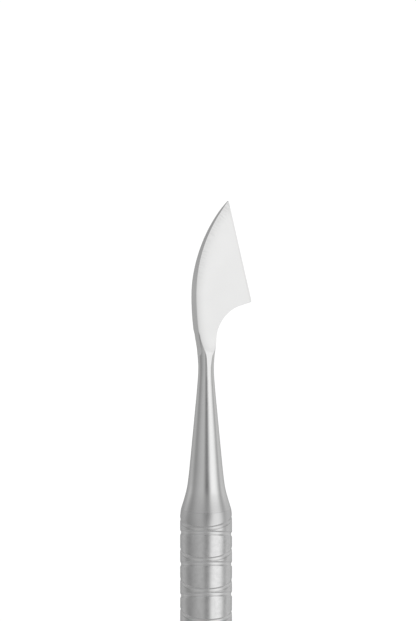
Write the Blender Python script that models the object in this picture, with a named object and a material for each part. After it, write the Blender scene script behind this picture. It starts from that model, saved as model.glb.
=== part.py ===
"""Double-ended cuticle pusher: a hatchet blade and a cupped pusher, brazed into a hollow grooved handle.

The tool stands along Z with the blade at the top. The origin is the middle of the grip, on its axis.
The blade lies in the XZ plane, its front face looks towards -Y and its cutting edge towards +X.
All sizes are in millimetres, and MM turns them into metres when a mesh is made.
"""

import math

import bmesh
import bpy
import numpy as np
from mathutils import Matrix, Vector

MM = 0.001
SEGMENTS = 32

# Handle tube
HANDLE_DIAMETER = 7.0
HANDLE_LENGTH = 53.5
BORE_DIAMETER = 5.0
MOUTH_CHAMFER_SHARE = 0.5

# Grip grooves, cut round the tube on planes that lean forwards and backwards in turn
GROOVE_PITCH = 2.12
GROOVE_WIDTH = 0.6
GROOVE_DEPTH = 0.12
GROOVE_LEAN = math.radians(13.4)
GROOVE_LOW_SIDE = math.radians(-115.0)
LEAST_LAND = 0.03
END_LAND = 0.1

# The shoulder where the handle narrows into each neck
SHOULDER_LENGTH = 4.7
SHOULDER_TOP_DIAMETER = 4.86
SEAM_DROP = 0.95
SEAM_GAP = 0.02

# Necks, the same at both ends
CONE_LENGTH = 14.5
WAIST_LENGTH = 2.5
WAIST_DIAMETER = 2.1

# Spigots inside the tube, and the brazing rings at its mouths
SPIGOT_LENGTH = 9.0
SPIGOT_CLEARANCE = 0.03
SPIGOT_CHAMFER = 0.5
BRAZE_CLEARANCE = 0.02

# Hatchet blade, measured from its root, where the waist ends
BLADE_LENGTH = 21.2
SPINE_REACH = 1.82
SPINE_BULGE_HEIGHT = 8.5
SPINE_ROOT_RADIUS = 32.0
SPINE_START_HEIGHT = 1.0
SPINE_RUN_OUT_RADIUS = 3.0
TIP_OFFSET = 3.25
TIP_FLAT = 0.1
HEEL_OFFSET = 6.66
HEEL_HEIGHT = 7.05
HEEL_ROUND = 0.2
NOTCH_RADIUS = 4.7
NOTCH_SLOPE = math.radians(10.8)
NOTCH_STEP = 0.1
SPINE_THICKNESS = 1.52
EDGE_THICKNESS = 0.18
FLAT_START = 3.0
FLAT_RUN_OUT_RADIUS = 17.4
FLARE_START = -0.3
FLARE_RADIUS = 6.6
CUTTER_MARGIN = 1.0

# Cupped pusher, measured from its root
PUSHER_LENGTH = 21.2
PUSHER_WIDTH = 6.4
PUSHER_FLARE_LENGTH = 11.5
PUSHER_PLATE_THICKNESS = 0.9
PUSHER_RIM_THICKNESS = 0.44
PUSHER_BEND = 2.0
PUSHER_CUP = 0.55

HANDLE_RADIUS = HANDLE_DIAMETER / 2
SEAM_LEVEL = HANDLE_LENGTH / 2
SHOULDER_FOOT = SEAM_LEVEL - SEAM_DROP
CONE_FOOT = SHOULDER_FOOT + SHOULDER_LENGTH
WAIST_LEVEL = CONE_FOOT + CONE_LENGTH
ROOT_LEVEL = WAIST_LEVEL + WAIST_LENGTH
GROOVE_RISE = HANDLE_RADIUS * math.tan(GROOVE_LEAN)
GROOVE_MARGIN = GROOVE_RISE + GROOVE_WIDTH / 2 + END_LAND
GROOVE_COUNT = math.floor((HANDLE_LENGTH - 2 * GROOVE_MARGIN) / GROOVE_PITCH) + 1
SPIGOT_RADIUS = BORE_DIAMETER / 2 - SPIGOT_CLEARANCE


def make_material(name, colour, roughness):
    material = bpy.data.materials.new(name)
    material.use_nodes = True
    shader = material.node_tree.nodes["Principled BSDF"]
    shader.inputs["Base Color"].default_value = (*colour, 1.0)
    shader.inputs["Metallic"].default_value = 1.0
    shader.inputs["Roughness"].default_value = roughness
    return material


def add_object(name, bm, material):
    """Puts a bmesh drawn in millimetres into the scene as a smooth shaded object."""
    bmesh.ops.recalc_face_normals(bm, faces=bm.faces)
    bmesh.ops.scale(bm, vec=(MM, MM, MM), verts=bm.verts)
    mesh = bpy.data.meshes.new(name)
    bm.to_mesh(mesh)
    bm.free()
    mesh.shade_smooth()
    mesh.set_sharp_from_angle(angle=math.radians(30))
    mesh.materials.append(material)
    obj = bpy.data.objects.new(name, mesh)
    bpy.context.scene.collection.objects.link(obj)
    return obj


def skin(rings, closed):
    """Joins rings of equal vertex count with quads, then joins the last to the first or caps both ends."""
    bm = bmesh.new()
    loops = [[bm.verts.new(point) for point in ring] for ring in rings]
    pairs = list(zip(loops, loops[1:]))
    if closed:
        pairs.append((loops[-1], loops[0]))
    else:
        bm.faces.new(loops[0])
        bm.faces.new(loops[-1])
    for lower, upper in pairs:
        for i in range(len(lower)):
            bm.faces.new((lower[i - 1], lower[i], upper[i], upper[i - 1]))
    return bm


def column_angles():
    return [2 * math.pi * index / SEGMENTS for index in range(SEGMENTS)]


def mouth_chamfer():
    """Width of the chamfer inside each end of the tube."""
    return MOUTH_CHAMFER_SHARE * (shoulder_radius(SEAM_LEVEL) - BORE_DIAMETER / 2)


def round_ring(radius, level):
    return [Vector((radius * math.cos(a), radius * math.sin(a), level)) for a in column_angles()]


def turn(profile, closed):
    """Turns a profile of (radius, level) points round the Z axis."""
    return skin([round_ring(radius, level) for radius, level in profile], closed)


def shoulder_radius(level):
    """Outside radius of handle, shoulder, cone and waist at a height above the grip's middle."""
    height = abs(level)
    top = SHOULDER_TOP_DIAMETER / 2
    waist = WAIST_DIAMETER / 2
    cone_slope = (top - waist) / (CONE_LENGTH + WAIST_LENGTH / 3)
    if height <= SHOULDER_FOOT:
        return HANDLE_RADIUS
    if height <= CONE_FOOT:
        u = (CONE_FOOT - height) / SHOULDER_LENGTH
        start = (2 * u**3 - 3 * u**2 + 1) * top
        lead = (u**3 - 2 * u**2 + u) * cone_slope * SHOULDER_LENGTH
        end = (3 * u**2 - 2 * u**3) * HANDLE_RADIUS
        return start + lead + end
    return max(top - cone_slope * (height - CONE_FOOT), waist)


def neck_profile():
    """Spigot, seam face, shoulder, cone and waist of one end, from inside the tube up to the root."""
    inner_end = SEAM_LEVEL - SPIGOT_LENGTH
    seam = SEAM_LEVEL + SEAM_GAP
    profile = [
        (SPIGOT_RADIUS - SPIGOT_CHAMFER, inner_end),
        (SPIGOT_RADIUS, inner_end + SPIGOT_CHAMFER),
        (SPIGOT_RADIUS, seam),
    ]
    levels = [seam + step * (CONE_FOOT - seam) / 6 for step in range(7)]
    levels += [CONE_FOOT + share * CONE_LENGTH for share in (0.33, 0.67, 1.0)]
    levels += [WAIST_LEVEL + share * WAIST_LENGTH for share in (0.33, 0.67, 1.0)]
    return profile + [(shoulder_radius(level), level) for level in levels]


def groove_centre(index, angle):
    """Height of one groove's middle. Even grooves dip on the low side, and odd ones rise there."""
    level = (GROOVE_COUNT - 1) * GROOVE_PITCH / 2 - index * GROOVE_PITCH
    lean = -1 if index % 2 == 0 else 1
    return level + lean * GROOVE_RISE * math.cos(angle - GROOVE_LOW_SIDE)


def groove_points(index, angle):
    """(depth, height) of a groove's upper edge, bottom and lower edge at one angle round the tube."""
    centre = groove_centre(index, angle)
    points = [(GROOVE_DEPTH, centre)]
    for neighbour, side in ((index - 1, 1), (index + 1, -1)):
        edge = centre + side * GROOVE_WIDTH / 2
        if 0 <= neighbour < GROOVE_COUNT:
            middle = (centre + groove_centre(neighbour, angle)) / 2
            limit = middle - side * LEAST_LAND / 2
            edge = min(edge, limit) if side > 0 else max(edge, limit)
        depth = GROOVE_DEPTH * (1 - abs(edge - centre) / (GROOVE_WIDTH / 2))
        points.insert(0 if side > 0 else len(points), (depth, edge))
    return points


def handle_ring(heights_and_depths):
    """One ring of the handle's outside. It holds a (depth, height) for each side of the tube."""
    ring = []
    for angle, (depth, level) in zip(column_angles(), heights_and_depths):
        radius = shoulder_radius(level) - depth
        ring.append(Vector((radius * math.cos(angle), radius * math.sin(angle), level)))
    return ring


def end_rings(groove_edges, end_level):
    """Rings from a tube end to the outermost groove, which follow the shoulder's curve."""
    rings = []
    for share in (0.0, 0.35, 0.7):
        heights = [end_level + share * (level - end_level) for _, level in groove_edges]
        rings.append(handle_ring([(0.0, level) for level in heights]))
    return rings


def make_handle_tube(steel):
    columns = [[groove_points(i, a) for a in column_angles()] for i in range(GROOVE_COUNT)]
    outside = end_rings([points[0] for points in columns[0]], SEAM_LEVEL)
    for column in columns:
        outside += [handle_ring([points[part] for points in column]) for part in range(3)]
    outside += end_rings([points[2] for points in columns[-1]], -SEAM_LEVEL)[::-1]
    bore, chamfer = BORE_DIAMETER / 2, mouth_chamfer()
    inside = [
        round_ring(bore + chamfer, -SEAM_LEVEL),
        round_ring(bore, -SEAM_LEVEL + chamfer),
        round_ring(bore, SEAM_LEVEL - chamfer),
        round_ring(bore + chamfer, SEAM_LEVEL),
    ]
    return add_object("handle_tube", skin(outside + inside, closed=True), steel)


def make_braze_ring(name, end, braze):
    """Filler ring in the wedge between a spigot and the chamfered mouth of the tube."""
    gap = BRAZE_CLEARANCE
    inner = SPIGOT_RADIUS + gap
    outer = BORE_DIAMETER / 2 + mouth_chamfer() - 3 * gap
    top = SEAM_LEVEL - gap
    foot = top - (outer - inner)
    profile = [(inner, end * foot), (outer, end * top), (inner, end * top)]
    return add_object(name, turn(profile, closed=True), braze)


def arc(centre, radius, start, end, steps):
    """Points on a circular arc in the XZ plane, with its angles in degrees."""
    angles = [math.radians(start + (end - start) * step / steps) for step in range(steps + 1)]
    return [(centre[0] + radius * math.cos(a), centre[1] + radius * math.sin(a)) for a in angles]


def notch_centre():
    """Centre of the notch's arc, which is tangent to the straight part that leads to the heel."""
    x = WAIST_DIAMETER / 2 + NOTCH_STEP + NOTCH_RADIUS
    line = HEEL_HEIGHT - (HEEL_OFFSET - x) * math.tan(NOTCH_SLOPE)
    return x, line - NOTCH_RADIUS / math.cos(NOTCH_SLOPE)


def heel_round():
    """Small arc between the cutting edge and the notch's straight part, and the direction of that part."""
    edge_lean = math.atan((HEEL_OFFSET - TIP_OFFSET) / (BLADE_LENGTH - HEEL_HEIGHT))
    opening = math.pi / 2 + NOTCH_SLOPE - edge_lean
    reach = HEEL_ROUND / math.sin(opening / 2)
    middle = (edge_lean + NOTCH_SLOPE - math.pi / 2) / 2
    centre = (HEEL_OFFSET - reach * math.cos(middle), HEEL_HEIGHT - reach * math.sin(middle))
    return arc(centre, HEEL_ROUND, math.degrees(edge_lean), math.degrees(NOTCH_SLOPE) - 90, 5)


def spine_points():
    """Spine of the blade, from where it leaves the neck up to the tip."""
    tip_run, tip_rise = TIP_OFFSET - TIP_FLAT + SPINE_REACH, BLADE_LENGTH - SPINE_BULGE_HEIGHT
    top_radius = (tip_run**2 + tip_rise**2) / (2 * tip_run)
    top_centre = (top_radius - SPINE_REACH, SPINE_BULGE_HEIGHT)
    root_centre = (SPINE_ROOT_RADIUS - SPINE_REACH, SPINE_BULGE_HEIGHT)
    top_turn = math.asin(tip_rise / top_radius)
    root_turn = math.asin((SPINE_BULGE_HEIGHT - SPINE_START_HEIGHT) / SPINE_ROOT_RADIUS)
    reach = SPINE_ROOT_RADIUS + SPINE_RUN_OUT_RADIUS
    out_centre = (root_centre[0] - reach * math.cos(root_turn), root_centre[1] - reach * math.sin(root_turn))
    points = arc(out_centre, SPINE_RUN_OUT_RADIUS, -60, math.degrees(root_turn), 6)
    points += arc(root_centre, SPINE_ROOT_RADIUS, 180 + math.degrees(root_turn), 180, 5)[1:]
    return points + arc(top_centre, top_radius, 180, 180 - math.degrees(top_turn), 12)[1:]


def blade_outline():
    """Outline that the blade is ground to. Below the root it passes outside the neck and the spigot."""
    side = HANDLE_RADIUS + CUTTER_MARGIN
    foot = -ROOT_LEVEL + SEAM_LEVEL - SPIGOT_LENGTH - CUTTER_MARGIN
    points = [(-side, foot)]
    spine = spine_points()
    points.append((-side, spine[0][1]))
    points += spine
    points.append((TIP_OFFSET, BLADE_LENGTH))
    points += heel_round()
    points += arc(notch_centre(), NOTCH_RADIUS, 90 + math.degrees(NOTCH_SLOPE), 180, 12)
    points.append((points[-1][0], FLARE_START))
    points += [(side, spine[0][1]), (side, foot)]
    return points


def half_thickness(x, height):
    """Half the blade's thickness, from the plane through tip, heel and the spine's widest point."""
    edge, spine = EDGE_THICKNESS / 2, SPINE_THICKNESS / 2
    corners = [
        (1, TIP_OFFSET, BLADE_LENGTH),
        (1, HEEL_OFFSET, HEEL_HEIGHT),
        (1, -SPINE_REACH, SPINE_BULGE_HEIGHT),
    ]
    plane = np.linalg.solve(np.array(corners), np.array([edge, edge, spine]))
    return float(plane @ np.array([1, x, height]))


def make_cutter(name, side):
    """Grinding wheel path for one flat of the blade: a plane with a round run-out at the root."""
    left, right = -SPINE_REACH - CUTTER_MARGIN, HEEL_OFFSET + CUTTER_MARGIN
    back, above = WAIST_DIAMETER / 2 + FLARE_RADIUS + CUTTER_MARGIN, BLADE_LENGTH + 2 * CUTTER_MARGIN
    drops = [0.0, 0.8, 1.6, 2.4, 3.2, 4.2]
    rings = []
    for x in (left, right):
        ring = [Vector((x, side * half_thickness(x, above), above))]
        for drop in drops:
            height = FLAT_START - drop
            lift = FLAT_RUN_OUT_RADIUS - math.sqrt(FLAT_RUN_OUT_RADIUS**2 - drop**2)
            ring.append(Vector((x, side * (half_thickness(x, height) + lift), height)))
        ring.append(Vector((x, side * back, FLAT_START - drops[-1])))
        ring.append(Vector((x, side * back, above)))
        rings.append(ring)
    bm = skin(rings, closed=False)
    bmesh.ops.translate(bm, vec=(0, 0, ROOT_LEVEL), verts=bm.verts)
    return as_helper(add_object(name, bm, None))


def as_helper(obj):
    obj.data.shade_flat()
    obj.hide_render = True
    obj.display_type = "WIRE"
    return obj


def add_boolean(obj, other, operation):
    modifier = obj.modifiers.new(other.name, "BOOLEAN")
    modifier.operation = operation
    modifier.solver = "EXACT"
    modifier.object = other
    return modifier


def make_outline_cutter():
    """The blade's outline, as thick as the bar that the blade is ground from."""
    bm = bmesh.new()
    half = WAIST_DIAMETER / 2 + FLARE_RADIUS + CUTTER_MARGIN
    front = [bm.verts.new((x, -half, ROOT_LEVEL + z)) for x, z in blade_outline()]
    back = [bm.verts.new((x, half, ROOT_LEVEL + z)) for x, z in blade_outline()]
    bm.faces.new(front)
    bm.faces.new(back)
    for i in range(len(front)):
        bm.faces.new((front[i - 1], front[i], back[i], back[i - 1]))
    return as_helper(add_object("outline_cutter", bm, None))


def blade_bar_profile():
    """The bar above the waist, which flares out to more than the blade's width before it is ground."""
    profile = []
    for degrees in (8, 16, 24, 33, 44, 58, 90):
        angle = math.radians(degrees)
        radius = WAIST_DIAMETER / 2 + FLARE_RADIUS * (1 - math.cos(angle))
        profile.append((radius, ROOT_LEVEL + FLARE_START + FLARE_RADIUS * math.sin(angle)))
    return profile + [(profile[-1][0], ROOT_LEVEL + BLADE_LENGTH + CUTTER_MARGIN)]


def make_blade_end(steel):
    neck = [point for point in neck_profile() if point[1] < ROOT_LEVEL + FLARE_START]
    blade_end = add_object("blade_end", turn(neck + blade_bar_profile(), closed=False), steel)
    add_boolean(blade_end, make_outline_cutter(), "INTERSECT")
    add_boolean(blade_end, make_cutter("front_flat_cutter", -1), "DIFFERENCE")
    add_boolean(blade_end, make_cutter("back_flat_cutter", 1), "DIFFERENCE")
    return blade_end


def pusher_ring(distance, half_width):
    """Cupped cross-section of the pusher at a distance beyond its root."""
    share = min(distance / PUSHER_FLARE_LENGTH, 1.0)
    ease = share * share * (3 - 2 * share)
    waist = WAIST_DIAMETER / 2
    thin = (distance - PUSHER_FLARE_LENGTH) / (PUSHER_LENGTH - PUSHER_FLARE_LENGTH)
    plate = PUSHER_PLATE_THICKNESS / 2
    rim = PUSHER_RIM_THICKNESS / 2
    half_thick = waist + (plate - waist) * ease if share < 1 else plate + (rim - plate) * thin
    bend = -PUSHER_BEND * (distance / PUSHER_LENGTH) ** 2
    ring = []
    for angle in column_angles():
        across = math.cos(angle)
        cup = -PUSHER_CUP * ease * (across * half_width / (PUSHER_WIDTH / 2)) ** 2
        y = bend + cup + half_thick * math.sin(angle)
        ring.append(Vector((half_width * across, y, -ROOT_LEVEL - distance)))
    return ring


def pusher_rings():
    """Rings of the pusher beyond its root: a flare, a parallel plate and a round end."""
    waist, wide = WAIST_DIAMETER / 2, PUSHER_WIDTH / 2
    rings = []
    for step in range(1, 9):
        share = step / 8
        ease = share**2 * (3 - 2 * share)
        rings.append(pusher_ring(share * PUSHER_FLARE_LENGTH, waist + (wide - waist) * ease))
    round_start = PUSHER_LENGTH - wide
    rings.append(pusher_ring((PUSHER_FLARE_LENGTH + round_start) / 2, wide))
    for degrees in (0, 15, 30, 45, 58, 70, 80, 87):
        angle = math.radians(degrees)
        rings.append(pusher_ring(round_start + wide * math.sin(angle), wide * math.cos(angle)))
    return rings


def make_pusher_end(steel):
    rings = [round_ring(radius, -level) for radius, level in neck_profile()] + pusher_rings()
    return add_object("pusher_end", skin(rings, closed=False), steel)


def main():
    for obj in list(bpy.data.objects):
        bpy.data.objects.remove(obj, do_unlink=True)
    satin = make_material("satin_steel", (0.56, 0.56, 0.57), 0.36)
    polished = make_material("polished_steel", (0.66, 0.66, 0.67), 0.24)
    braze = make_material("silver_braze", (0.72, 0.66, 0.50), 0.40)
    make_handle_tube(satin)
    make_blade_end(polished)
    make_pusher_end(polished)
    make_braze_ring("blade_braze_ring", 1, braze)
    make_braze_ring("pusher_braze_ring", -1, braze)


main()
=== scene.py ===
import math

import bpy
import numpy as np
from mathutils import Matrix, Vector


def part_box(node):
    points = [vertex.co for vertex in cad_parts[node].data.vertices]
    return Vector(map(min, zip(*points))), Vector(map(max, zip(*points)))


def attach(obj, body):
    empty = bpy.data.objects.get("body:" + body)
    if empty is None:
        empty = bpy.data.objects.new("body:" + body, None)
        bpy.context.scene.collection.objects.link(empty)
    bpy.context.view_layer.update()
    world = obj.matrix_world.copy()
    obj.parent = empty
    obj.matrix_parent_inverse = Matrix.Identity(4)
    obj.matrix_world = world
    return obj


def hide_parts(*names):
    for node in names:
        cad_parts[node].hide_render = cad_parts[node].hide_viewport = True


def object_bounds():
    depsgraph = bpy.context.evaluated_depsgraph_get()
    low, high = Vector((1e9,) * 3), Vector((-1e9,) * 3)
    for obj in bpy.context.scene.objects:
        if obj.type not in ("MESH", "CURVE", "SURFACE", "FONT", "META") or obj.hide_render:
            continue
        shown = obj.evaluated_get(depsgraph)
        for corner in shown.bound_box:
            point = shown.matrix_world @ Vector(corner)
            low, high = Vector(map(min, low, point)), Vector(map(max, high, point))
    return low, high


mm = 0.001
mergeGap = 0.0002 * mm
cadBladeLength = 21.2 * mm

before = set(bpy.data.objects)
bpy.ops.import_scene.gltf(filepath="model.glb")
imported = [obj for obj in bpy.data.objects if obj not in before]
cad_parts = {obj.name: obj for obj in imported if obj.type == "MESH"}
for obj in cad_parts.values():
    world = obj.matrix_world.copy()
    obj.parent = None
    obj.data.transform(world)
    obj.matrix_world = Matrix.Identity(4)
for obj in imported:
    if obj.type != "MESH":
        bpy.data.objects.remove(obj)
cadLow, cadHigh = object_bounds()
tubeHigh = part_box("handle_tube")[1]
bladeLow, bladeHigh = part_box("blade_end")
print("frame loaded:", len(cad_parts), "nodes")

# the heights and the radius that every piece is placed by, from the frame
places = {
    "seam": tubeHigh.z,
    "root": bladeHigh.z - cadBladeLength,
    "spigotFoot": bladeLow.z,
    "gripRadius": tubeHigh.x,
}


def deselectAll():
    if bpy.context.object and bpy.context.object.mode != "OBJECT":
        bpy.ops.object.mode_set(mode="OBJECT")
    bpy.ops.object.select_all(action="DESELECT")


def pick(obj):
    deselectAll()
    obj.select_set(True)
    bpy.context.view_layer.objects.active = obj


def cleanUp(obj):
    # merge what landed on the same spot, then turn every face outwards
    pick(obj)
    bpy.ops.object.mode_set(mode="EDIT")
    bpy.ops.mesh.select_all(action="SELECT")
    bpy.ops.mesh.remove_doubles(threshold=mergeGap)
    bpy.ops.mesh.normals_make_consistent(inside=False)
    bpy.ops.object.mode_set(mode="OBJECT")


def applyModifier(obj, kind, **settings):
    pick(obj)
    modifier = obj.modifiers.new(kind.title(), kind)
    for key, value in settings.items():
        setattr(modifier, key, value)
    bpy.ops.object.modifier_apply(modifier=modifier.name)


def boolean(obj, tool, operation):
    applyModifier(obj, "BOOLEAN", operation=operation, solver="EXACT", object=tool)
    bpy.data.objects.remove(tool)


def smoothFaces(obj, angle):
    pick(obj)
    bpy.ops.object.shade_smooth_by_angle(angle=math.radians(angle))
    applyModifier(obj, "WEIGHTED_NORMAL", keep_sharp=True, weight=80)


def curveThrough(points, closed=False, steps=12):
    # points are (x, z, handle kind): AUTO for a flowing line, VECTOR for a corner
    deselectAll()
    bpy.ops.curve.primitive_bezier_curve_add(location=(0, 0, 0))
    line = bpy.context.object
    line.data.resolution_u = steps
    spline = line.data.splines[0]
    spline.bezier_points.add(len(points) - 2)
    for knot, (x, z, kind) in zip(spline.bezier_points, points):
        knot.handle_left_type = kind
        knot.handle_right_type = kind
        knot.co = (x, 0, z)
    spline.use_cyclic_u = closed
    return line


def spinLine(line, steps):
    pick(line)
    bpy.ops.object.convert(target="MESH")
    bpy.ops.object.mode_set(mode="EDIT")
    bpy.ops.mesh.select_all(action="SELECT")
    bpy.ops.mesh.spin(steps=steps, angle=2 * math.pi, center=(0, 0, 0), axis=(0, 0, 1))
    bpy.ops.object.mode_set(mode="OBJECT")
    cleanUp(line)
    return line


def finishPiece(obj, name, node, material):
    obj.name = name
    obj.data.name = name
    obj.data.materials.clear()
    obj.data.materials.append(material)
    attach(obj, "root")
    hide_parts(node)
    print("made", name, "with", len(obj.data.polygons), "faces")


# Steel finishes

satin = {
    "colour": (0.72, 0.72, 0.72),
    "mottle": 0.055,
    "mottleSize": 0.6 * mm,
    "grainSize": 0.3 * mm,
    "roughLow": 0.22,
    "roughHigh": 0.26,
    "bump": 0.0003 * mm,
    # painted highlight: the bottom of the grooves is painted lighter than the tube, standing in for the
    # brighter reflection there, and is a little rougher, from this share of their depth
    "cutFrom": 0.4,
    "grooveLightColour": (0.78, 0.78, 0.78),
    "cutRough": 0.34,
    # towards the seams the steel is a little darker and coarser, dressed after brazing
    "bandFrom": places["seam"] - 2.9 * mm,
    "bandTo": places["seam"] - 0.9 * mm,
    "bandColour": (0.675, 0.675, 0.675),
    "bandRough": 0.29,
}

polish = {
    "colour": (0.768, 0.768, 0.765),
    "mottle": 0.012,
    "mottleSize": 3.6 * mm,
    "grainSize": 0.4 * mm,
    "roughLow": 0.15,
    "roughHigh": 0.20,
    "bump": 0.0006 * mm,
    # the dressed band goes on across the seams
    "bandFrom": places["seam"] + 2.6 * mm,
    "bandTo": places["seam"] + 0.2 * mm,
    "bandColour": (0.71, 0.71, 0.71),
    "bandRough": 0.26,
}

# streaky marks of the grinding wheel on the blade, which run square to the spine, carrying painted shade
# that darkens the face beside the spine in its upper half
strokesAndSpineShade = {
    "perRadian": 130.0,
    "length": 1.4 * mm,
    # the width of the painted shade beside the spine, and of the marks within it
    "width": 1.6 * mm,  # of the strip beside the spine that shows them
    "climb": 5.0 * mm,  # they come in over this height above the spine's bulge
    "noise": (0.35, 0.65),
    "dark": 0.45,
    "colour": (0.55, 0.55, 0.55),
}

noiseSpan = (0.3, 0.7)  # most of what a noise texture gives


def newMaterial(name):
    material = bpy.data.materials.new(name)
    material.use_nodes = True
    nodes, links = material.node_tree.nodes, material.node_tree.links
    return material, nodes, links, nodes["Principled BSDF"]


def addNoise(nodes, links, place, scale, detail):
    noise = nodes.new("ShaderNodeTexNoise")
    noise.inputs["Scale"].default_value = scale
    noise.inputs["Detail"].default_value = detail
    links.new(place, noise.inputs["Vector"])
    return noise.outputs["Fac"]


def addRange(nodes, links, value, low, high, toLow=0, toHigh=1, kind="LINEAR"):
    # what lies between low and high comes out between toLow and toHigh
    span = nodes.new("ShaderNodeMapRange")
    span.interpolation_type = kind
    span.inputs["From Min"].default_value = low
    span.inputs["From Max"].default_value = high
    span.inputs["To Min"].default_value = toLow
    span.inputs["To Max"].default_value = toHigh
    links.new(value, span.inputs["Value"])
    return span.outputs["Result"]


def addMath(nodes, links, operation, first, second=None):
    step = nodes.new("ShaderNodeMath")
    step.operation = operation
    links.new(first, step.inputs[0])
    if second is not None:
        links.new(second, step.inputs[1])
    return step.outputs["Value"]


def addBump(nodes, links, shader, height, distance):
    bump = nodes.new("ShaderNodeBump")
    bump.inputs["Strength"].default_value = 1.0
    bump.inputs["Distance"].default_value = distance
    links.new(height, bump.inputs["Height"])
    links.new(bump.outputs["Normal"], shader.inputs["Normal"])


def mixColours(nodes, links, share, below):
    # the colour below gives way to the mix's B where the share rises to 1
    blend = nodes.new("ShaderNodeMix")
    blend.data_type = "RGBA"
    links.new(share, blend.inputs["Factor"])
    links.new(below, blend.inputs["A"])
    return blend


def blendFinish(nodes, links, share, colour, rough, otherColour, otherRough):
    # one finish gives way to another where the share rises to 1
    tone = mixColours(nodes, links, share, colour)
    tone.inputs["B"].default_value = (*otherColour, 1)
    coarse = nodes.new("ShaderNodeMix")
    coarse.inputs["B"].default_value = otherRough
    links.new(share, coarse.inputs["Factor"])
    links.new(rough, coarse.inputs["A"])
    return tone.outputs["Result"], coarse.outputs["Result"]


def steelMaterial(name, look):
    material, nodes, links, shader = newMaterial(name)
    shader.inputs["Metallic"].default_value = 1.0
    place = nodes.new("ShaderNodeTexCoord").outputs["Object"]
    grain = addNoise(nodes, links, place, 1 / look["grainSize"], detail=4)
    cloud = addNoise(nodes, links, place, 1 / look["mottleSize"], detail=3)
    tint = nodes.new("ShaderNodeValToRGB")
    dark = [channel * (1 - look["mottle"]) for channel in look["colour"]]
    light = [min(channel * (1 + look["mottle"]), 1) for channel in look["colour"]]
    for element, position, shade in zip(tint.color_ramp.elements, noiseSpan, (dark, light)):
        element.position = position
        element.color = (*shade, 1)
    links.new(cloud, tint.inputs["Fac"])
    colour = tint.outputs["Color"]
    rough = addRange(nodes, links, grain, *noiseSpan, look["roughLow"], look["roughHigh"])
    if "grooveLightColour" in look:
        # the tube's own attribute says how deep in a groove each point lies
        depth = nodes.new("ShaderNodeAttribute")
        depth.attribute_name = "grooveDepth"
        # deep in a groove the colour is painted lighter, a painted highlight for the brighter reflection
        # there, and the roughness rises
        bottom = addRange(nodes, links, depth.outputs["Fac"], look["cutFrom"], 1)
        colour, rough = blendFinish(
            nodes, links, bottom, colour, rough, look["grooveLightColour"], look["cutRough"]
        )
    # both seams lie equally far from the middle of the tool
    split = nodes.new("ShaderNodeSeparateXYZ")
    links.new(place, split.inputs["Vector"])
    fromMiddle = addMath(nodes, links, "ABSOLUTE", split.outputs["Z"])
    band = addRange(nodes, links, fromMiddle, look["bandFrom"], look["bandTo"], kind="SMOOTHSTEP")
    colour, rough = blendFinish(nodes, links, band, colour, rough, look["bandColour"], look["bandRough"])
    links.new(colour, shader.inputs["Base Color"])
    links.new(rough, shader.inputs["Roughness"])
    addBump(nodes, links, shader, grain, look["bump"])
    return material


def addStrokesAndSpineShade(material, centre, radius):
    # noise laid out by turn and distance about the spine's centre (x, z), darkening the colour most beside
    # the spine: streaky marks together with painted shade along the spine's upper half
    nodes, links = material.node_tree.nodes, material.node_tree.links
    away = nodes.new("ShaderNodeVectorMath")
    away.operation = "SUBTRACT"
    away.inputs[1].default_value = (centre[0], 0, centre[1])
    links.new(nodes.new("ShaderNodeTexCoord").outputs["Object"], away.inputs[0])
    split = nodes.new("ShaderNodeSeparateXYZ")
    links.new(away.outputs["Vector"], split.inputs["Vector"])
    flat = nodes.new("ShaderNodeCombineXYZ")
    links.new(split.outputs["X"], flat.inputs["X"])
    links.new(split.outputs["Z"], flat.inputs["Z"])
    reach = nodes.new("ShaderNodeVectorMath")
    reach.operation = "LENGTH"
    links.new(flat.outputs["Vector"], reach.inputs[0])
    polar = nodes.new("ShaderNodeCombineXYZ")
    turn = addMath(nodes, links, "ARCTAN2", split.outputs["Z"], split.outputs["X"])
    links.new(turn, polar.inputs["X"])
    links.new(reach.outputs["Value"], polar.inputs["Y"])
    stretch = nodes.new("ShaderNodeVectorMath")
    stretch.operation = "MULTIPLY"
    stretch.inputs[1].default_value = (strokesAndSpineShade["perRadian"], 1 / strokesAndSpineShade["length"], 0)
    links.new(polar.outputs["Vector"], stretch.inputs[0])
    marks = addNoise(nodes, links, stretch.outputs["Vector"], scale=1, detail=2)
    depth = addRange(nodes, links, marks, *strokesAndSpineShade["noise"], 0, strokesAndSpineShade["dark"])
    # painted shade: the darkening is strongest right beside the spine and above its bulge
    inner = radius - strokesAndSpineShade["width"]
    near = addRange(nodes, links, reach.outputs["Value"], inner, radius, kind="SMOOTHSTEP")
    high = addRange(nodes, links, split.outputs["Z"], 0, strokesAndSpineShade["climb"], kind="SMOOTHSTEP")
    mask = addMath(nodes, links, "MULTIPLY", near, high)
    share = addMath(nodes, links, "MULTIPLY", mask, depth)
    base = nodes["Principled BSDF"].inputs["Base Color"]
    marksAndShade = mixColours(nodes, links, share, base.links[0].from_socket)
    marksAndShade.inputs["B"].default_value = (*strokesAndSpineShade["colour"], 1)
    links.new(marksAndShade.outputs["Result"], base)


satinSteel = steelMaterial("satinSteel", satin)
polishedSteel = steelMaterial("polishedSteel", polish)
bladeSteel = steelMaterial("bladeSteel", polish)
print("finishes ready")


# Grooved grip tube

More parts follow.
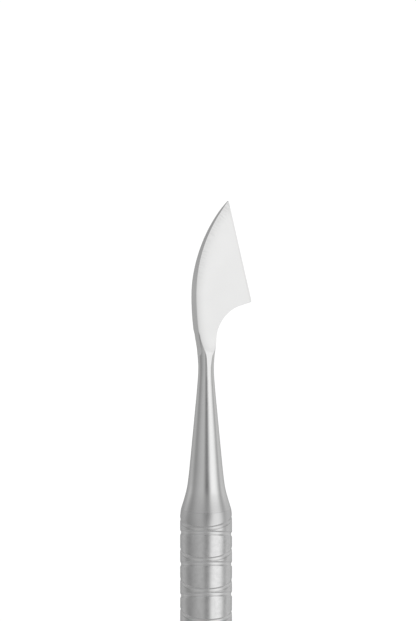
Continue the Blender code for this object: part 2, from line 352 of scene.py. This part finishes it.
grip = {
    "columns": 144,
    "pitch": 2.12 * mm,
    "grooves": 25,
    "width": 0.66 * mm,
    "depth": 0.12 * mm,
    "soften": 0.004 * mm,
    "margin": 0.04 * mm,  # the rows of a groove go this far past its edges
    "rowGap": 0.004 * mm,
    "lean": math.radians(13.0),
    "lowSide": math.radians(-127),
    "twist": math.radians(4.0),
    "endRound": 1.4 * mm,
    "endDrop": 0.14 * mm,
    "endBevel": 0.01 * mm,
    "bore": 2.5 * mm,
    "mouth": 0.42 * mm,
    "rowsPerSide": 8,
    "endShares": (0, 0.12, 0.3, 0.5, 0.7, 0.88),  # of the way from the seam to the nearest groove
    "boreShares": (-1, -0.33, 0.33, 1),  # of half the bore's length
    "smoothAngle": 35,
}


def grooveHeight(index, angle):
    level = ((grip["grooves"] - 1) / 2 - index) * grip["pitch"]
    rise = places["gripRadius"] * math.tan(grip["lean"])
    way = -1 if index % 2 == 0 else 1
    # the low side moves round a little from each groove to the next
    lowSide = grip["lowSide"] + index * grip["twist"]
    return level + way * rise * np.cos(angle - lowSide)


def tubeRadius(height):
    # straight, with both ends curving in towards the necks
    past = np.maximum(np.abs(height) - (places["seam"] - grip["endRound"]), 0)
    return places["gripRadius"] - grip["endDrop"] * (past / grip["endRound"]) ** 2


def grooveCut(distance):
    # a shallow round bottom that fades out softly at the groove's edge
    shape = grip["depth"] * (1 - (distance / (grip["width"] / 2)) ** 2)
    return (shape + np.sqrt(shape**2 + grip["soften"] ** 2)) / 2


def grooveRows(angle):
    # (radius, height, depth) rows through every groove, from the top end down
    rows = []
    reach = grip["width"] / 2 + grip["margin"]
    for index in range(grip["grooves"]):
        middle = grooveHeight(index, angle)
        for step in range(-grip["rowsPerSide"], grip["rowsPerSide"] + 1):
            neighbour = index + (1 if step > 0 else -1)
            room = np.full_like(angle, reach)
            if 0 <= neighbour < grip["grooves"]:
                half = np.abs(grooveHeight(neighbour, angle) - middle) / 2
                room = np.minimum(room, half - grip["rowGap"])
            away = room * abs(step) / grip["rowsPerSide"]
            height = middle - math.copysign(1, step) * away
            cut = grooveCut(away)
            rows.append((tubeRadius(height) - cut, height, cut / grip["depth"]))
    return rows


def endRows(nearest, side):
    # rows from one seam to the nearest groove row
    rows = []
    seam = side * places["seam"]
    for share in grip["endShares"]:
        height = seam + (nearest - seam) * share
        if share == 0:
            # the seam's edge is bevelled
            height = height - side * grip["endBevel"]
        rows.append((tubeRadius(height), height, 0 * height))
    return rows


def makeGripTube():
    angle = np.linspace(0, 2 * math.pi, grip["columns"] + 1)
    flat, none = np.ones_like(angle), np.zeros_like(angle)
    seam, bevel = places["seam"], grip["endBevel"]
    bore, mouth = grip["bore"], grip["bore"] + grip["mouth"]
    faceRadius = float(tubeRadius(np.array(seam))) - bevel
    cuts = grooveRows(angle)
    rows = [(faceRadius * flat, seam * flat, none)]
    rows += endRows(cuts[0][1], 1) + cuts + endRows(cuts[-1][1], -1)[::-1]
    rows += [(faceRadius * flat, -seam * flat, none), (mouth * flat, -seam * flat, none)]
    for share in grip["boreShares"]:
        rows.append((bore * flat, share * (seam - grip["mouth"]) * flat, none))
    rows += [(mouth * flat, seam * flat, none), rows[0]]
    deselectAll()
    bpy.ops.mesh.primitive_grid_add(x_subdivisions=grip["columns"], y_subdivisions=len(rows) - 1, size=1)
    tube = bpy.context.object
    # the flat grid is wrapped round the axis, row by row
    points = np.zeros((len(rows), grip["columns"] + 1, 3))
    for place, (radius, height, cut) in enumerate(rows):
        points[place] = np.stack([radius * np.cos(angle), radius * np.sin(angle), height], axis=1)
    tube.data.vertices.foreach_set("co", points.reshape(-1).astype(np.float32))
    depths = np.concatenate([cut for radius, height, cut in rows])
    attribute = tube.data.attributes.new("grooveDepth", "FLOAT", "POINT")
    attribute.data.foreach_set("value", depths.astype(np.float32))
    tube.data.update()
    cleanUp(tube)
    smoothFaces(tube, grip["smoothAngle"])
    finishPiece(tube, "grip_tube", "handle_tube", satinSteel)


# Necks and the ends they carry

neck = {
    "segments": 128,
    "spigot": 2.47 * mm,
    "spigotBevel": 0.5 * mm,
    "seamGap": 0.002 * mm,
    "seamBevel": 0.01 * mm,
    "shoulder": 3.36 * mm,
    "lipInset": 0.002 * mm,
    # (radius, distance below the root)
    "line": (
        (2.86, 19.05), (2.60, 18.0), (2.37, 16.4), (2.115, 13.9), (1.81, 10.7), (1.50, 7.4), (1.20, 4.1),
        (1.048, 1.6),
    ),
}

blade = {
    "length": 21.05 * mm,
    "spineReach": 1.80 * mm,
    "spineBulge": 8.5 * mm,
    "spineRootRadius": 35.0 * mm,
    "spineStart": 1.3 * mm,
    "runOutRadius": 2.0 * mm,
    "runOutStart": math.radians(-60),
    "tip": 3.32 * mm,
    "tipFlat": 0.1 * mm,
    "heel": (6.74 * mm, 7.02 * mm),
    "heelRound": 0.2 * mm,
    "notchRadius": 4.7 * mm,
    "notchSlope": math.radians(10.8),
    "throat": 1.22 * mm,
    "throatFoot": -0.3 * mm,
    "outlineSteps": {"runOut": 20, "lowerSpine": 24, "upperSpine": 48, "heel": 8, "notch": 40},
    # the plate that cuts the outline goes round the whole neck
    "plateSide": 4.5 * mm,
    "plateMargin": 1 * mm,
    "plateDepth": 18 * mm,
    "spineHalf": 0.79 * mm,
    "edgeHalf": 0.09 * mm,
    "hollow": 0.10 * mm,
    "hollowWidth": 1.5 * mm,
    "hollowSpread": 0.9 * mm,
    "hollowPower": 2.5,
    "hollowLimit": 1.5,  # the hollow stops growing outside the outline
    # the blade thins by this share towards its tip, between these heights
    "thinning": 0.3,
    "thinFrom": 9.0 * mm,
    "thinTo": 16.0 * mm,
    "flatStart": 3.9 * mm,
    "flatRunOut": 14.3 * mm,  # radius of the wheel that runs the face out into the neck
    "flatDrop": 6 * mm,  # how far down the wheel's curve is followed
    "flatBlend": 0.04 * mm,
    # the flat left on the waist: its height, how it climbs to the blade and how it fades downwards
    "waistFlat": 1.015 * mm,
    "waistClimb": 0.05,
    "waistClimbFrom": -0.8 * mm,
    "waistFade": 0.0034 * mm,
    # (radius, distance above the root) of the bar before it is ground
    "bar": (
        (1.13, 0.1), (1.235, 0.95), (1.33, 1.75), (1.47, 2.6), (1.60, 3.4), (1.85, 4.0), (2.6, 4.7),
        (4.6, 5.5), (7.9, 6.1),
    ),
    "barTop": 23 * mm,
    "edgeBevel": 0.25 * mm,
    "edgeBevelAngle": math.radians(5),
    "smoothAngle": 12,
}

# the block that each face and each bevel is ground with
grinder = {
    "left": -3 * mm,
    "right": 8 * mm,
    "foot": -5 * mm,
    "top": 22.5 * mm,
    "crowding": 1.25,  # above 1, its rows lie closer together at the foot
    "thickness": 9 * mm,
    "faceGrid": (56, 96),
    "edgeGrid": (11, 40),
}


def neckPoints():
    # spigot, seam face, shoulder and cone, from inside the tube to just below the root
    seam, root = places["seam"], places["root"]
    spigot, bevel = neck["spigot"], neck["spigotBevel"]
    face = seam + neck["seamGap"]
    lip = neck["shoulder"] - neck["lipInset"]
    points = [
        (0, places["spigotFoot"], "VECTOR"),
        (spigot - bevel, places["spigotFoot"], "VECTOR"),
        (spigot, places["spigotFoot"] + bevel, "VECTOR"),
        (spigot, face, "VECTOR"),
        (neck["shoulder"] - neck["seamBevel"], face, "VECTOR"),
        (lip, face + neck["seamBevel"], "VECTOR"),
    ]
    points += [(radius * mm, root - drop * mm, "AUTO") for radius, drop in neck["line"]]
    return points


def arc(centre, radius, start, end, count):
    turn = [start + (end - start) * step / count for step in range(count + 1)]
    return [(centre[0] + radius * math.cos(a), centre[1] + radius * math.sin(a)) for a in turn]


def spineArcs():
    # centres and radii of the spine's upper and lower curves
    run = blade["tip"] - blade["tipFlat"] + blade["spineReach"]
    rise = blade["length"] - blade["spineBulge"]
    upper = (run**2 + rise**2) / (2 * run)
    lower = blade["spineRootRadius"]
    reach, bulge = blade["spineReach"], blade["spineBulge"]
    return ((upper - reach, bulge), upper), ((lower - reach, bulge), lower)


def edgeLean():
    # how far the cutting edge leans from upright
    heelX, heelZ = blade["heel"]
    return math.atan((heelX - blade["tip"]) / (blade["length"] - heelZ))


def bladeOutline():
    # once round: up the spine, over the tip, down the cutting edge and back along the notch
    steps = blade["outlineSteps"]
    (upperCentre, upper), (lowerCentre, lower) = spineArcs()
    upperTurn = math.asin((blade["length"] - blade["spineBulge"]) / upper)
    lowerTurn = math.asin((blade["spineBulge"] - blade["spineStart"]) / lower)
    reach = lower + blade["runOutRadius"]
    outCentre = (
        lowerCentre[0] - reach * math.cos(lowerTurn),
        lowerCentre[1] - reach * math.sin(lowerTurn),
    )
    points = arc(outCentre, blade["runOutRadius"], blade["runOutStart"], lowerTurn, steps["runOut"])
    points += arc(lowerCentre, lower, math.pi + lowerTurn, math.pi, steps["lowerSpine"])[1:]
    points += arc(upperCentre, upper, math.pi, math.pi - upperTurn, steps["upperSpine"])[1:]
    points.append((blade["tip"], blade["length"]))
    heelX, heelZ = blade["heel"]
    lean, slope = edgeLean(), blade["notchSlope"]
    opening = math.pi / 2 + slope - lean
    middle = (lean + slope - math.pi / 2) / 2
    inset = blade["heelRound"] / math.sin(opening / 2)
    corner = (heelX - inset * math.cos(middle), heelZ - inset * math.sin(middle))
    points += arc(corner, blade["heelRound"], lean, slope - math.pi / 2, steps["heel"])
    radius = blade["notchRadius"]
    centreX = blade["throat"] + radius
    centreZ = heelZ - (heelX - centreX) * math.tan(slope) - radius / math.cos(slope)
    points += arc((centreX, centreZ), radius, math.pi / 2 + slope, math.pi, steps["notch"])
    points.append((blade["throat"], blade["throatFoot"]))
    side, foot = blade["plateSide"], places["spigotFoot"] - places["root"] - blade["plateMargin"]
    low = points[0][1]
    points += [(side, low), (side, foot), (-side, foot), (-side, low)]
    return points


def outlineTool():
    # the outline as a thick plate, wider than the bar in depth
    points = [(x, z + places["root"], "VECTOR") for x, z in bladeOutline()]
    plate = curveThrough(points, closed=True, steps=1)
    pick(plate)
    bpy.ops.object.convert(target="MESH")
    bpy.ops.object.mode_set(mode="EDIT")
    bpy.ops.mesh.select_all(action="SELECT")
    bpy.ops.mesh.edge_face_add()
    bpy.ops.mesh.extrude_region_move(TRANSFORM_OT_translate={"value": (0, blade["plateDepth"], 0)})
    bpy.ops.mesh.select_all(action="SELECT")
    bpy.ops.transform.translate(value=(0, -blade["plateDepth"] / 2, 0))
    bpy.ops.object.mode_set(mode="OBJECT")
    cleanUp(plate)
    return plate


def taper(x, z):
    # half thickness of the wedge through tip, heel and the spine's widest point, thinner near the tip
    heelX, heelZ = blade["heel"]
    corners = [
        (1, blade["tip"], blade["length"]),
        (1, heelX, heelZ),
        (1, -blade["spineReach"], blade["spineBulge"]),
    ]
    thin = blade["edgeHalf"] + blade["hollow"]
    halves = (thin, thin, blade["spineHalf"])
    plane = np.linalg.solve(np.array(corners), np.array(halves))
    share = np.clip((z - blade["thinFrom"]) / (blade["thinTo"] - blade["thinFrom"]), 0, 1)
    keep = 1 - blade["thinning"] * share * share * (3 - 2 * share)
    return thin + (plane[0] + plane[1] * x + plane[2] * z - thin) * keep


def faceHeight(x, z):
    # the wedge, ground hollow along the spine, with a wheel-shaped run-out into the neck
    (upperCentre, upper), (lowerCentre, lower) = spineArcs()
    fromUpper = upper - np.hypot(x - upperCentre[0], z - upperCentre[1])
    fromLower = lower - np.hypot(x - lowerCentre[0], z - lowerCentre[1])
    inward = np.where(z > blade["spineBulge"], fromUpper, fromLower)
    # the hollow spreads further from the spine in the upper half
    upward = np.clip((z - blade["spineBulge"]) / (blade["thinTo"] - blade["spineBulge"]), 0, 1)
    width = blade["hollowWidth"] + blade["hollowSpread"] * upward
    share = np.clip(1 - inward / width, 0, blade["hollowLimit"])
    hollow = blade["hollow"] * (1 - share ** blade["hollowPower"])
    drop = np.clip(blade["flatStart"] - z, 0, blade["flatDrop"])
    lift = blade["flatRunOut"] - np.sqrt(blade["flatRunOut"] ** 2 - drop**2)
    ground = taper(x, z) - hollow + lift
    # towards the root only a shallow flat is left, which fades out down the waist
    flat = blade["waistFlat"] + blade["waistClimb"] * np.clip(z - blade["waistClimbFrom"], 0, None)
    flat = flat + blade["waistFade"] * (np.abs(np.minimum(z, 0)) / mm) ** 3
    return (ground + flat - np.sqrt((ground - flat) ** 2 + blade["flatBlend"] ** 2)) / 2


def edgeHeight(x, z):
    # the steeper bevel that makes the cutting edge
    heelX, heelZ = blade["heel"]
    lean = edgeLean()
    fromEdge = (heelX - x) * math.cos(lean) - (z - heelZ) * math.sin(lean)
    full = taper(x, z) - blade["hollow"]
    return full + (fromEdge - blade["edgeBevel"]) * math.tan(blade["edgeBevelAngle"])


def grindingTool(side, height, grid):
    # a sheet in the shape of the ground face, thickened outwards
    columns, rows = grid
    foot, top = grinder["foot"], grinder["top"]
    deselectAll()
    bpy.ops.mesh.primitive_grid_add(x_subdivisions=columns, y_subdivisions=rows, size=1)
    tool = bpy.context.object
    x = np.linspace(grinder["left"], grinder["right"], columns + 1)
    z = foot + (top - foot) * np.linspace(0, 1, rows + 1) ** grinder["crowding"]
    gridX, gridZ = np.meshgrid(x, z)
    points = np.stack([gridX, side * height(gridX, gridZ), gridZ + places["root"]], axis=2)
    tool.data.vertices.foreach_set("co", points.reshape(-1).astype(np.float32))
    tool.data.update()
    pick(tool)
    bpy.ops.object.mode_set(mode="EDIT")
    bpy.ops.mesh.select_all(action="SELECT")
    outwards = (0, side * grinder["thickness"], 0)
    bpy.ops.mesh.extrude_region_move(TRANSFORM_OT_translate={"value": outwards})
    bpy.ops.object.mode_set(mode="OBJECT")
    cleanUp(tool)
    return tool


def makeBladeEnd():
    root = places["root"]
    points = neckPoints()
    points += [(radius * mm, root + rise * mm, "AUTO") for radius, rise in blade["bar"]]
    widest, top = blade["bar"][-1][0] * mm, root + blade["barTop"]
    points += [(widest, top, "VECTOR"), (0, top, "VECTOR")]
    end = spinLine(curveThrough(points), neck["segments"])
    boolean(end, outlineTool(), "INTERSECT")
    for side in (-1, 1):
        boolean(end, grindingTool(side, faceHeight, grinder["faceGrid"]), "DIFFERENCE")
        boolean(end, grindingTool(side, edgeHeight, grinder["edgeGrid"]), "DIFFERENCE")
    smoothFaces(end, blade["smoothAngle"])
    centre, radius = spineArcs()[0]
    addStrokesAndSpineShade(bladeSteel, (centre[0], centre[1] + root), radius)
    finishPiece(end, "hatchet_blade", "blade_end", bladeSteel)


# Cupped pusher

pusher = {
    "length": 21.2 * mm,
    "halfWidth": 3.2 * mm,
    "flare": 11.5 * mm,
    "plate": 0.45 * mm,
    "rim": 0.16 * mm,
    "bend": 2.0 * mm,
    "cup": 0.55 * mm,
    "flareRings": 24,
    "straightRings": 6,
    "tipRings": 24,
    "smoothAngle": 35,
}


def makePusherEnd():
    waist = neck["line"][-1][0] * mm
    root = places["root"]
    points = neckPoints() + [(waist, root, "AUTO")]
    end = spinLine(curveThrough(points), neck["segments"])
    pick(end)
    end.rotation_euler.x = math.pi
    bpy.ops.object.transform_apply(location=False, rotation=True, scale=False)
    # the open end is drawn out into the blade of the pusher, ring by ring
    flare, length, wide = pusher["flare"], pusher["length"], pusher["halfWidth"]
    rings = []
    for step in range(1, pusher["flareRings"] + 1):
        share = step / pusher["flareRings"]
        ease = share**2 * (3 - 2 * share)
        halfThick = waist + (pusher["plate"] - waist) * ease
        rings.append((share * flare, waist + (wide - waist) * ease, halfThick))
    straight = length - wide
    for step in range(1, pusher["straightRings"] + 1):
        rings.append((flare + (straight - flare) * step / pusher["straightRings"], wide, None))
    for step in range(1, pusher["tipRings"] + 1):
        turn = math.pi / 2 * step / (pusher["tipRings"] + 1)
        rings.append((straight + wide * math.sin(turn), wide * math.cos(turn), None))
    bpy.ops.object.mode_set(mode="EDIT")
    bpy.ops.mesh.select_mode(type="VERT")
    bpy.ops.mesh.select_all(action="DESELECT")
    bpy.ops.object.mode_set(mode="OBJECT")
    for vertex in end.data.vertices:
        vertex.select = vertex.co.z < -root + 0.001 * mm  # the last ring
    bpy.ops.object.mode_set(mode="EDIT")
    lastZ, lastWide, lastThick = 0, waist, waist
    for drop, halfWide, halfThick in rings:
        if halfThick is None:
            # past the flare it thins evenly down to its rim
            thin = (drop - flare) / (length - flare)
            halfThick = pusher["plate"] + (pusher["rim"] - pusher["plate"]) * thin
        bpy.ops.mesh.extrude_edges_move(TRANSFORM_OT_translate={"value": (0, 0, lastZ - drop)})
        bpy.ops.transform.resize(
            value=(halfWide / lastWide, halfThick / lastThick, 1),
            center_override=(0, 0, -root - drop),
        )
        lastZ, lastWide, lastThick = drop, halfWide, halfThick
    bpy.ops.mesh.edge_face_add()
    bpy.ops.object.mode_set(mode="OBJECT")
    # then it is dished across and bent forwards
    count = len(end.data.vertices)
    points = np.empty(count * 3, dtype=np.float32)
    end.data.vertices.foreach_get("co", points)
    points = points.reshape(-1, 3)
    beyond = np.clip(-root - points[:, 2], 0, None)
    share = np.clip(beyond / flare, 0, 1)
    ease = share**2 * (3 - 2 * share)
    points[:, 1] -= pusher["cup"] * ease * (points[:, 0] / wide) ** 2
    points[:, 1] -= pusher["bend"] * (beyond / length) ** 2
    end.data.vertices.foreach_set("co", points.reshape(-1))
    end.data.update()
    cleanUp(end)
    smoothFaces(end, pusher["smoothAngle"])
    finishPiece(end, "cupped_pusher", "pusher_end", polishedSteel)


makeGripTube()
makeBladeEnd()
makePusherEnd()


# Brazing alloy on the two rings inside the joints

braze = {
    "darkColour": (0.55, 0.47, 0.30),
    "lightColour": (0.80, 0.74, 0.58),
    "grainSize": 0.4 * mm,
    "roughLow": 0.35,
    "roughHigh": 0.6,
    "bump": 0.02 * mm,
}


def brazeMaterial():
    material, nodes, links, shader = newMaterial("silverBraze")
    shader.inputs["Metallic"].default_value = 1.0
    place = nodes.new("ShaderNodeTexCoord").outputs["Object"]
    grain = addNoise(nodes, links, place, 1 / braze["grainSize"], detail=2)
    tint = nodes.new("ShaderNodeValToRGB")
    tint.color_ramp.elements[0].color = (*braze["darkColour"], 1)
    tint.color_ramp.elements[1].color = (*braze["lightColour"], 1)
    rough = addRange(nodes, links, grain, 0, 1, braze["roughLow"], braze["roughHigh"])
    links.new(grain, tint.inputs["Fac"])
    links.new(tint.outputs["Color"], shader.inputs["Base Color"])
    links.new(rough, shader.inputs["Roughness"])
    addBump(nodes, links, shader, grain, braze["bump"])
    return material


silverBraze = brazeMaterial()
for ring in ("blade_braze_ring", "pusher_braze_ring"):
    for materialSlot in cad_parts[ring].material_slots:
        materialSlot.material = silverBraze
print("brazing rings finished")


# Studio

studio = {
    "cameraAzimuth": -25.0,
    "cameraElevation": 10.3,
    "lens": 500.0,
    "viewHeight": 83.4 * mm,
    "aimAboveRoot": 6.37 * mm,
    "aimRight": 0.262 * mm,
    # the tent round the tool: a ring of walls at each height, and plain table and roof beyond them
    # each stop is (degrees right of the camera, brightness)
    "wallsLow": (
        (-180, 0.38), (-152, 0.40), (-134, 0.475), (-112, 0.50), (-86, 0.33), (-60, 0.40), (-26, 0.54),
        (-12, 0.50), (0, 0.32), (6, 0.37), (14, 0.49), (21, 0.90), (30, 1.05), (44, 1.10), (62, 1.055),
        (75, 0.86), (86, 0.53), (93, 0.49), (108, 0.67), (125, 0.62), (137, 0.63), (152, 0.46), (180, 0.38),
    ),
    "wallsMiddle": (
        (-180, 0.40), (-134, 0.44), (-108, 0.605), (-83, 0.375), (-56, 0.475), (-27, 0.585), (-13, 0.50),
        (-1, 0.262), (9, 0.225), (21, 0.55), (31, 1.02), (47, 1.145), (62, 1.06), (73, 0.85), (84, 0.555),
        (92, 0.46), (110, 0.69), (126, 0.64), (150, 0.62), (180, 0.40),
    ),
    "wallsHigh": (
        (-180, 0.38), (-134, 0.445), (-105, 0.375), (-80, 0.31), (-56, 0.46), (-26, 0.535), (-13, 0.49),
        (2, 0.35), (10, 0.36), (18, 0.47), (27, 0.80), (46, 0.87), (58, 0.87), (70, 0.76), (82, 0.45),
        (90, 0.41), (106, 0.54), (126, 0.52), (150, 0.55), (180, 0.38),
    ),
    "table": 0.42,
    "roof": 0.42,
    # heights from -1 to 1 between which one ring gives way to the next
    "steps": ((-0.9, -0.45), (-0.11, 0.01), (0.1, 0.37), (0.5, 0.9)),
    "tentStrength": 1.25,
    "room": 0.75,  # what the world gives to all that isn't a reflection
    "floorSize": 6,
    "floorGap": 0.05 * mm,
    "floorColour": (0.92, 0.92, 0.92),
    "floorLift": 0.14,
    "lampFrom": (-0.4, -0.6, 1),
    "lampSpread": 35,
    "lampPower": 0.9,
}


def wallRing(nodes, links, turned, stops):
    # the brightness all round at one height, as a ramp
    ramp = nodes.new("ShaderNodeValToRGB")
    ramp.color_ramp.interpolation = "CARDINAL"
    elements = ramp.color_ramp.elements
    while len(elements) < len(stops):
        elements.new(0.5)  # each gets its place below
    for element, (degrees, level) in zip(elements, stops):
        element.position = 0.5 + degrees / 360
    for element, (degrees, level) in zip(elements, stops):
        # a ramp stops at 1, so the strength of the tent lifts it from there
        share = level / studio["tentStrength"]
        element.color = (share, share, share, 1)
    links.new(turned, ramp.inputs["Fac"])
    return ramp.outputs["Color"]


def makeWorld():
    world = bpy.data.worlds.new("tent")
    bpy.context.scene.world = world
    world.use_nodes = True
    nodes, links = world.node_tree.nodes, world.node_tree.links
    nodes.clear()
    place = nodes.new("ShaderNodeTexCoord")
    turn = nodes.new("ShaderNodeMapping")
    # the side that faces the camera comes to the middle of each ramp
    turn.inputs["Rotation"].default_value = (0, 0, math.radians(90 - studio["cameraAzimuth"]))
    radial = nodes.new("ShaderNodeTexGradient")
    radial.gradient_type = "RADIAL"
    turned = radial.outputs["Fac"]
    split = nodes.new("ShaderNodeSeparateXYZ")
    links.new(place.outputs["Generated"], turn.inputs["Vector"])
    links.new(turn.outputs["Vector"], radial.inputs["Vector"])
    links.new(place.outputs["Generated"], split.inputs["Vector"])
    rings = [((-180, studio["table"]), (180, studio["table"]))]
    rings += [studio["wallsLow"], studio["wallsMiddle"], studio["wallsHigh"]]
    rings.append(((-180, studio["roof"]), (180, studio["roof"])))
    glow = wallRing(nodes, links, turned, rings[0])
    for (foot, head), stops in zip(studio["steps"], rings[1:]):
        share = addRange(nodes, links, split.outputs["Z"], foot, head, kind="SMOOTHSTEP")
        blend = mixColours(nodes, links, share, glow)
        links.new(wallRing(nodes, links, turned, stops), blend.inputs["B"])
        glow = blend.outputs["Result"]
    tent = nodes.new("ShaderNodeBackground")
    tent.inputs["Strength"].default_value = studio["tentStrength"]
    room = nodes.new("ShaderNodeBackground")
    room.inputs["Color"].default_value = (1, 1, 1, 1)
    room.inputs["Strength"].default_value = studio["room"]
    white = nodes.new("ShaderNodeBackground")
    white.inputs["Color"].default_value = (1, 1, 1, 1)
    # reflections see the tent, the camera sees white and all else sees the room
    path = nodes.new("ShaderNodeLightPath")
    shiny = nodes.new("ShaderNodeMixShader")
    seen = nodes.new("ShaderNodeMixShader")
    out = nodes.new("ShaderNodeOutputWorld")
    links.new(glow, tent.inputs["Color"])
    links.new(path.outputs["Is Glossy Ray"], shiny.inputs["Fac"])
    links.new(room.outputs["Background"], shiny.inputs[1])
    links.new(tent.outputs["Background"], shiny.inputs[2])
    links.new(path.outputs["Is Camera Ray"], seen.inputs["Fac"])
    links.new(shiny.outputs["Shader"], seen.inputs[1])
    links.new(white.outputs["Background"], seen.inputs[2])
    links.new(seen.outputs["Shader"], out.inputs["Surface"])


def makeFloor():
    deselectAll()
    level = cadLow.z - studio["floorGap"]
    bpy.ops.mesh.primitive_plane_add(size=studio["floorSize"], location=(0, 0, level))
    floor = bpy.context.object
    floor.name = "floor"
    material, nodes, links, shader = newMaterial("paleFloor")
    shader.inputs["Base Color"].default_value = (*studio["floorColour"], 1)
    shader.inputs["Roughness"].default_value = 0.9
    shader.inputs["Specular IOR Level"].default_value = 0
    shader.inputs["Emission Color"].default_value = (1, 1, 1, 1)
    path = nodes.new("ShaderNodeLightPath")
    # only the camera sees the lift that takes the floor to white
    lift = nodes.new("ShaderNodeMath")
    lift.operation = "MULTIPLY"
    lift.inputs[1].default_value = studio["floorLift"]
    links.new(path.outputs["Is Camera Ray"], lift.inputs[0])
    links.new(lift.outputs["Value"], shader.inputs["Emission Strength"])
    floor.data.materials.append(material)
    floor.visible_glossy = False


def makeTopLamp():
    deselectAll()
    direction = Vector(studio["lampFrom"])
    bpy.ops.object.light_add(type="SUN", location=direction.normalized())
    lamp = bpy.context.object
    lamp.name = "topLamp"
    lamp.data.angle = math.radians(studio["lampSpread"])
    lamp.data.energy = studio["lampPower"]
    lamp.rotation_euler = direction.to_track_quat("Z", "Y").to_euler()
    lamp.visible_glossy = False


def makeCamera():
    azimuth = math.radians(studio["cameraAzimuth"])
    elevation = math.radians(studio["cameraElevation"])
    back = Vector((
        math.sin(azimuth) * math.cos(elevation),
        -math.cos(azimuth) * math.cos(elevation),
        math.sin(elevation),
    ))
    right = Vector((math.cos(azimuth), math.sin(azimuth), 0))
    aim = Vector((0, 0, places["root"] + studio["aimAboveRoot"])) + right * studio["aimRight"]
    data = bpy.data.cameras.new("camera")
    data.lens = studio["lens"]
    data.sensor_width = 36
    distance = studio["viewHeight"] / data.sensor_width * data.lens
    data.clip_start = distance / 100
    data.clip_end = distance * 20
    camera = bpy.data.objects.new("camera", data)
    bpy.context.scene.collection.objects.link(camera)
    camera.location = aim + back * distance
    camera.rotation_euler = (-back).to_track_quat("-Z", "Y").to_euler()
    bpy.context.scene.camera = camera


makeWorld()
makeFloor()
makeTopLamp()
makeCamera()
bpy.context.scene.view_settings.view_transform = "Standard"
print("studio ready")
